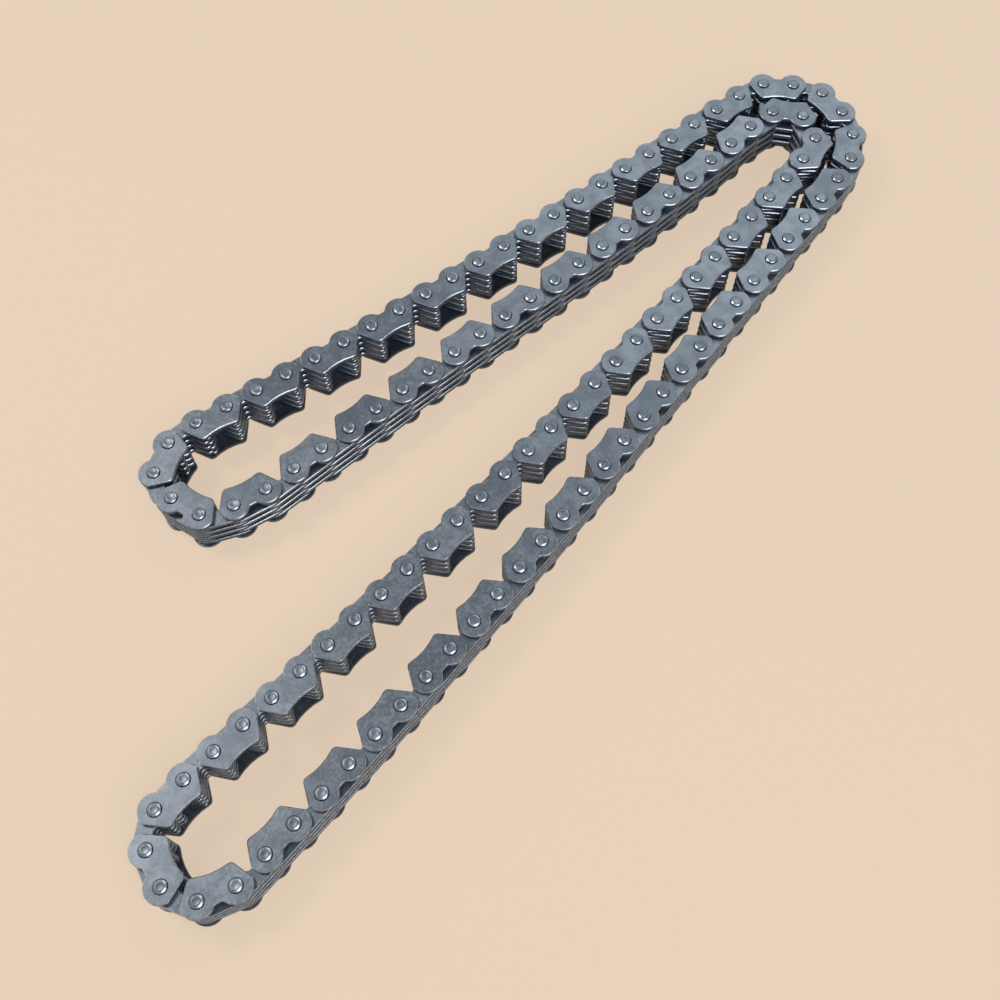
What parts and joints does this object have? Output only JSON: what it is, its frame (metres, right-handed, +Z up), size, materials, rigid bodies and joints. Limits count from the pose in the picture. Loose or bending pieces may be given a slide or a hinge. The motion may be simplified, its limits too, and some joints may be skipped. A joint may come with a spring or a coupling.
{
  "type": "timing chain",
  "caption": "Silent timing chain: an endless loop of toothed link plates, guide plates and riveted pins, lying on its side folded into a V.",
  "frame": {"origin": "middle of the folded chain's bounding box, on the plane that the lower pin ends rest on", "axes": "+X from the outer corner of the fold towards the long arm's tip, +Y towards the short arm's tip side as given by the right-hand rule, +Z up along the pins"},
  "size_m": [0.2088, 0.0736, 0.0095],
  "materials": {
    "steel": "satin"
  },
  "bodies": {
    "outer_corner_link_1": {"outer_corner_link_1": "steel"},
    "outer_corner_link_2": {"outer_corner_link_2": "steel"},
    "outer_corner_link_3": {"outer_corner_link_3": "steel"},
    "outer_corner_link_4": {"outer_corner_link_4": "steel"},
    "long_arm": {"long_arm_outer_run_1": "steel", "long_arm_outer_run_2": "steel", "long_arm_outer_run_3": "steel", "long_arm_outer_run_4": "steel", "long_arm_outer_run_5": "steel", "long_arm_outer_run_6": "steel", "long_arm_outer_run_7": "steel", "long_arm_outer_run_8": "steel", "long_arm_outer_run_9": "steel", "long_arm_tip_link_1": "steel", "long_arm_tip_link_2": "steel", "long_arm_tip_link_3": "steel", "long_arm_tip_link_4": "steel", "long_arm_tip_link_5": "steel", "long_arm_tip_link_6": "steel", "long_arm_tip_link_7": "steel", "long_arm_tip_link_8": "steel", "long_arm_inner_run_1": "steel", "long_arm_inner_run_2": "steel", "long_arm_inner_run_3": "steel", "long_arm_inner_run_4": "steel", "long_arm_inner_run_5": "steel", "long_arm_inner_run_6": "steel", "long_arm_inner_run_7": "steel", "long_arm_inner_run_8": "steel", "long_arm_inner_run_9": "steel"},
    "inner_corner_link_1": {"inner_corner_link_1": "steel"},
    "inner_corner_link_2": {"inner_corner_link_2": "steel"},
    "inner_corner_link_3": {"inner_corner_link_3": "steel"},
    "inner_corner_link_4": {"inner_corner_link_4": "steel"},
    "short_arm": {"short_arm_inner_run_1": "steel", "short_arm_inner_run_2": "steel", "short_arm_inner_run_3": "steel", "short_arm_inner_run_4": "steel", "short_arm_inner_run_5": "steel", "short_arm_inner_run_6": "steel", "short_arm_inner_run_7": "steel", "short_arm_inner_run_8": "steel", "short_arm_tip_link_1": "steel", "short_arm_tip_link_2": "steel", "short_arm_tip_link_3": "steel", "short_arm_tip_link_4": "steel", "short_arm_tip_link_5": "steel", "short_arm_tip_link_6": "steel", "short_arm_tip_link_7": "steel", "short_arm_tip_link_8": "steel", "short_arm_outer_run_1": "steel", "short_arm_outer_run_2": "steel", "short_arm_outer_run_3": "steel", "short_arm_outer_run_4": "steel", "short_arm_outer_run_5": "steel", "short_arm_outer_run_6": "steel"},
    "outer_corner_link_5": {"outer_corner_link_5": "steel"},
    "outer_corner_link_6": {"outer_corner_link_6": "steel"},
    "outer_corner_link_7": {"outer_corner_link_7": "steel"},
    "outer_corner_link_8": {"outer_corner_link_8": "steel"}
  },
  "joints": [
    {"name": "inner_corner_link_1_pivot", "type": "hinge", "parent": "long_arm", "child": "inner_corner_link_1", "pos_m": [-0.08367, 0.0256, 0.00475], "axis": [0, 0, -1], "range_deg": [-14.24, 0]},
    {"name": "inner_corner_link_2_pivot", "type": "hinge", "parent": "inner_corner_link_1", "child": "inner_corner_link_2", "pos_m": [-0.08997, 0.0248, 0.00475], "axis": [0, 0, -1], "range_deg": [0, 31.2]},
    {"name": "inner_corner_link_3_pivot", "type": "hinge", "parent": "inner_corner_link_2", "child": "inner_corner_link_3", "pos_m": [-0.0936, 0.01959, 0.00475], "axis": [0, 0, -1], "range_deg": [0, 46.2]},
    {"name": "inner_corner_link_4_pivot", "type": "hinge", "parent": "inner_corner_link_3", "child": "inner_corner_link_4", "pos_m": [-0.0908, 0.01389, 0.00475], "axis": [0, 0, -1], "range_deg": [0, 32.08]},
    {"name": "short_arm_pivot", "type": "hinge", "parent": "inner_corner_link_4", "child": "short_arm", "pos_m": [-0.08466, 0.01227, 0.00475], "axis": [0, 0, -1], "range_deg": [-16.5, 0]},
    {"name": "outer_corner_link_5_pivot", "type": "hinge", "parent": "short_arm", "child": "outer_corner_link_5", "pos_m": [-0.08424, 0.00413, 0.00475], "axis": [0, 0, -1], "range_deg": [-13.96, 0]},
    {"name": "outer_corner_link_6_pivot", "type": "hinge", "parent": "outer_corner_link_5", "child": "outer_corner_link_6", "pos_m": [-0.09035, 0.00586, 0.00475], "axis": [0, 0, -1], "range_deg": [-6.65, 0]},
    {"name": "outer_corner_link_7_pivot", "type": "hinge", "parent": "outer_corner_link_6", "child": "outer_corner_link_7", "pos_m": [-0.09622, 0.00827, 0.00475], "axis": [0, 0, -1], "range_deg": [-21.31, 0]},
    {"name": "outer_corner_link_8_pivot", "type": "hinge", "parent": "outer_corner_link_7", "child": "outer_corner_link_8", "pos_m": [-0.09974, 0.01356, 0.00475], "axis": [0, 0, -1], "range_deg": [0, 5.67]},
    {"name": "outer_corner_link_4_pivot", "type": "hinge", "parent": "long_arm", "child": "outer_corner_link_4", "pos_m": [-0.08341, 0.0339, 0.00475], "axis": [0, 0, -1], "range_deg": [0, 14.68]},
    {"name": "outer_corner_link_3_pivot", "type": "hinge", "parent": "outer_corner_link_4", "child": "outer_corner_link_3", "pos_m": [-0.08974, 0.03338, 0.00475], "axis": [0, 0, -1], "range_deg": [0, 17.63]},
    {"name": "outer_corner_link_2_pivot", "type": "hinge", "parent": "outer_corner_link_3", "child": "outer_corner_link_2", "pos_m": [-0.09544, 0.03058, 0.00475], "axis": [0, 0, -1], "range_deg": [0, 8.23]},
    {"name": "outer_corner_link_1_pivot", "type": "hinge", "parent": "outer_corner_link_2", "child": "outer_corner_link_1", "pos_m": [-0.09946, 0.02567, 0.00475], "axis": [0, 0, -1], "range_deg": [-4.92, 0]}
  ],
  "couplings": [
    {"joint": "inner_corner_link_1_pivot", "follows": "inner_corner_link_3_pivot", "ratio": -0.30829},
    {"joint": "inner_corner_link_2_pivot", "follows": "inner_corner_link_3_pivot", "ratio": 0.67535},
    {"joint": "inner_corner_link_4_pivot", "follows": "inner_corner_link_3_pivot", "ratio": 0.69442},
    {"joint": "short_arm_pivot", "follows": "inner_corner_link_3_pivot", "ratio": -0.35719},
    {"joint": "outer_corner_link_5_pivot", "follows": "inner_corner_link_3_pivot", "ratio": -0.30218},
    {"joint": "outer_corner_link_6_pivot", "follows": "inner_corner_link_3_pivot", "ratio": -0.14393},
    {"joint": "outer_corner_link_7_pivot", "follows": "inner_corner_link_3_pivot", "ratio": -0.46138},
    {"joint": "outer_corner_link_8_pivot", "follows": "inner_corner_link_3_pivot", "ratio": 0.12272},
    {"joint": "outer_corner_link_4_pivot", "follows": "inner_corner_link_3_pivot", "ratio": 0.31766},
    {"joint": "outer_corner_link_3_pivot", "follows": "inner_corner_link_3_pivot", "ratio": 0.3817},
    {"joint": "outer_corner_link_2_pivot", "follows": "inner_corner_link_3_pivot", "ratio": 0.1781},
    {"joint": "outer_corner_link_1_pivot", "follows": "inner_corner_link_3_pivot", "ratio": -0.10654}
  ]
}
